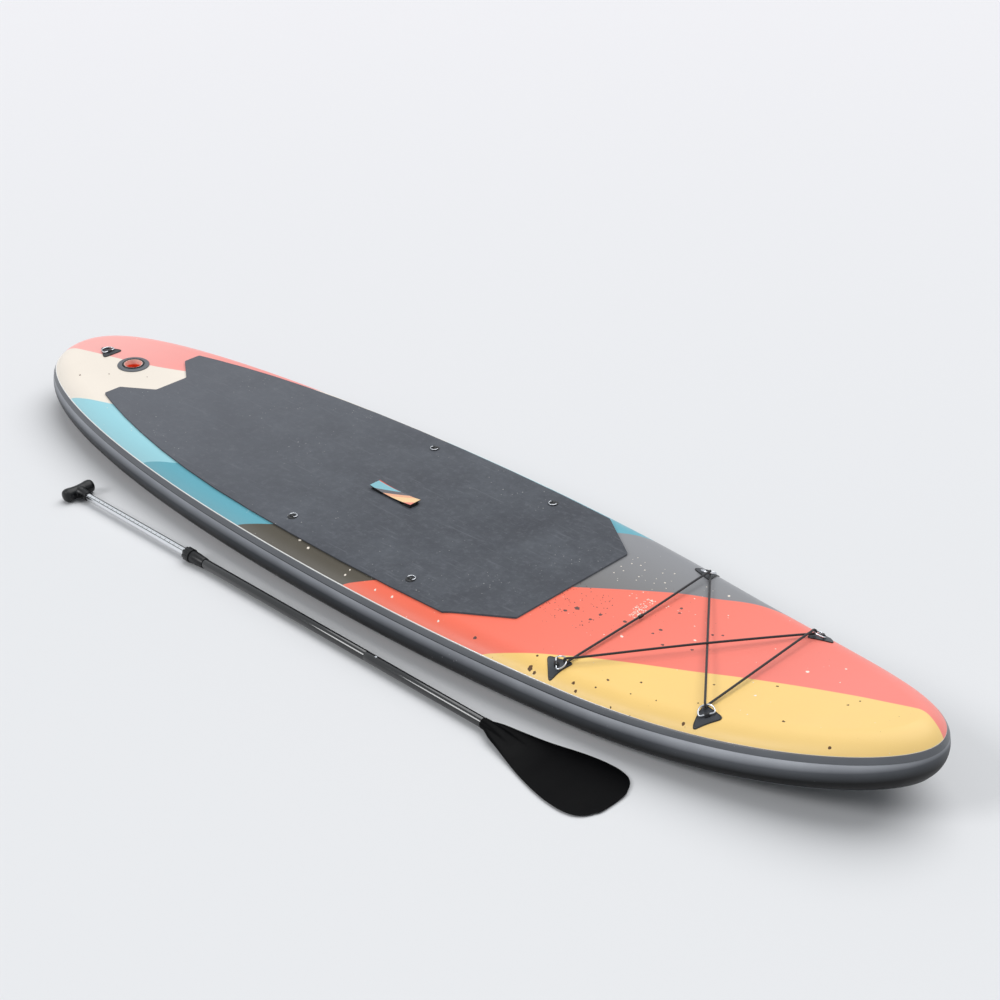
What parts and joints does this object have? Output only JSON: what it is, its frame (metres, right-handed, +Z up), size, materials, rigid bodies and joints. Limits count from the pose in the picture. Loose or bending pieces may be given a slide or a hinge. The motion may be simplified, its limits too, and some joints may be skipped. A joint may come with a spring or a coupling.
{
  "type": "inflatable stand-up paddle board",
  "caption": "Inflatable stand-up paddle board with striped deck, notched foam pad, bungee net, carry handle, inflation valve and leash ring, with its adjustable paddle lying beside it",
  "frame": {"origin": "middle of the flat bottom, on the floor", "axes": "+X to the nose, +Y to the far side, +Z up; the paddle lies on the -Y side, along X"},
  "size_m": [3.1996, 0.9298, 0.2446],
  "materials": {
    "deck_print": "satin printed sheet",
    "bottom_sheet": "satin sheet",
    "rail_sheet": "satin sheet",
    "seam_tape": "satin sheet",
    "drop_stitch": "matte threads",
    "pad_foam": "fine grained foam",
    "black_webbing": "woven",
    "handle_print": "printed neoprene",
    "black_patch": "moulded, matte",
    "ring_steel": "polished",
    "spring_steel": "bright",
    "cord_cover": "braided",
    "grey_plastic": "satin moulding",
    "dark_plastic": "satin moulding",
    "orange_plastic": "glossy moulding",
    "anodised_tube": "anodised, satin",
    "black_tube": "glossy black",
    "black_nylon": "moulded nylon",
    "seal_rubber": "matte"
  },
  "bodies": {
    "board": {"drop_stitch_core": "drop_stitch", "deck_skin": "deck_print", "bottom_skin": "bottom_sheet", "rail_band": "rail_sheet", "deck_seam_tape": "seam_tape", "bottom_seam_tape": "seam_tape", "deck_pad": "pad_foam", "handle_strap": "black_webbing", "handle_sleeve": "handle_print", "handle_anchor_front": "black_patch", "handle_anchor_rear": "black_patch", "nose_patch_1": "black_patch", "nose_patch_2": "black_patch", "nose_patch_3": "black_patch", "nose_patch_4": "black_patch", "nose_ring_1": "ring_steel", "nose_ring_2": "ring_steel", "nose_ring_3": "ring_steel", "nose_ring_4": "ring_steel", "tail_patch": "black_patch", "pad_ring_base_1": "black_patch", "pad_ring_base_2": "black_patch", "pad_ring_base_3": "black_patch", "pad_ring_base_4": "black_patch", "bungee_cord": "cord_cover", "bungee_ferrule": "dark_plastic", "valve_patch": "grey_plastic", "valve_collar": "dark_plastic", "valve_nut": "dark_plastic", "valve_cup": "orange_plastic", "valve_spring": "spring_steel", "fin_base": "dark_plastic"},
    "valve_plunger": {"valve_stem": "orange_plastic", "valve_poppet": "seal_rubber"},
    "tail_ring": {"tail_ring": "ring_steel"},
    "pad_ring_1": {"pad_ring_1": "ring_steel"},
    "pad_ring_2": {"pad_ring_2": "ring_steel"},
    "pad_ring_3": {"pad_ring_3": "ring_steel"},
    "pad_ring_4": {"pad_ring_4": "ring_steel"},
    "paddle": {"middle_shaft": "black_tube", "lock_sleeve": "black_tube", "lock_collet": "grey_plastic", "joint_ferrule": "anodised_tube", "button_spring": "spring_steel", "lower_shaft": "black_tube", "blade": "black_nylon"},
    "upper": {"upper_shaft": "anodised_tube", "paddle_grip": "dark_plastic"},
    "lock_nut": {"lock_nut": "black_tube"},
    "snap_button": {"snap_button": "spring_steel"}
  },
  "joints": [
    {"name": "valve_push", "type": "slide", "parent": "board", "child": "valve_plunger", "axis": [-0.0251, 0, -0.9997], "range_m": [0, 0.005], "stiffness_N_per_m": 400, "springref_m": -0.004, "deforming": ["valve_spring"]},
    {"name": "tail_ring_swing", "type": "hinge", "parent": "board", "child": "tail_ring", "pos_m": [-1.421, 0, 0.16956], "axis": [0, 1, 0], "range_deg": [0, 165]},
    {"name": "pad_ring_1_swing", "type": "hinge", "parent": "board", "child": "pad_ring_1", "pos_m": [-0.252, -0.26772, 0.1588], "axis": [1, 0, 0], "range_deg": [0, 170]},
    {"name": "pad_ring_2_swing", "type": "hinge", "parent": "board", "child": "pad_ring_2", "pos_m": [-0.252, 0.26772, 0.1588], "axis": [-1, 0, 0], "range_deg": [0, 170]},
    {"name": "pad_ring_3_swing", "type": "hinge", "parent": "board", "child": "pad_ring_3", "pos_m": [0.203, -0.26853, 0.1588], "axis": [1, 0, 0], "range_deg": [0, 170]},
    {"name": "pad_ring_4_swing", "type": "hinge", "parent": "board", "child": "pad_ring_4", "pos_m": [0.203, 0.26853, 0.1588], "axis": [-1, 0, 0], "range_deg": [0, 170]},
    {"name": "paddle_lift", "type": "slide", "parent": "board", "child": "paddle", "axis": [0, 0, 1], "range_m": [0, 0.5]},
    {"name": "shaft_length", "type": "slide", "parent": "paddle", "child": "upper", "axis": [1, 0, 0], "range_m": [-0.1, 0.3]},
    {"name": "lock_turn", "type": "hinge", "parent": "paddle", "child": "lock_nut", "pos_m": [-0.4785, -0.447, 0.0205], "axis": [1, 0, 0], "range_deg": [0, 90]},
    {"name": "button_press", "type": "slide", "parent": "paddle", "child": "snap_button", "axis": [0, 0, -1], "range_m": [0, 0.0024], "stiffness_N_per_m": 600, "springref_m": -0.003, "deforming": ["button_spring"]}
  ]
}
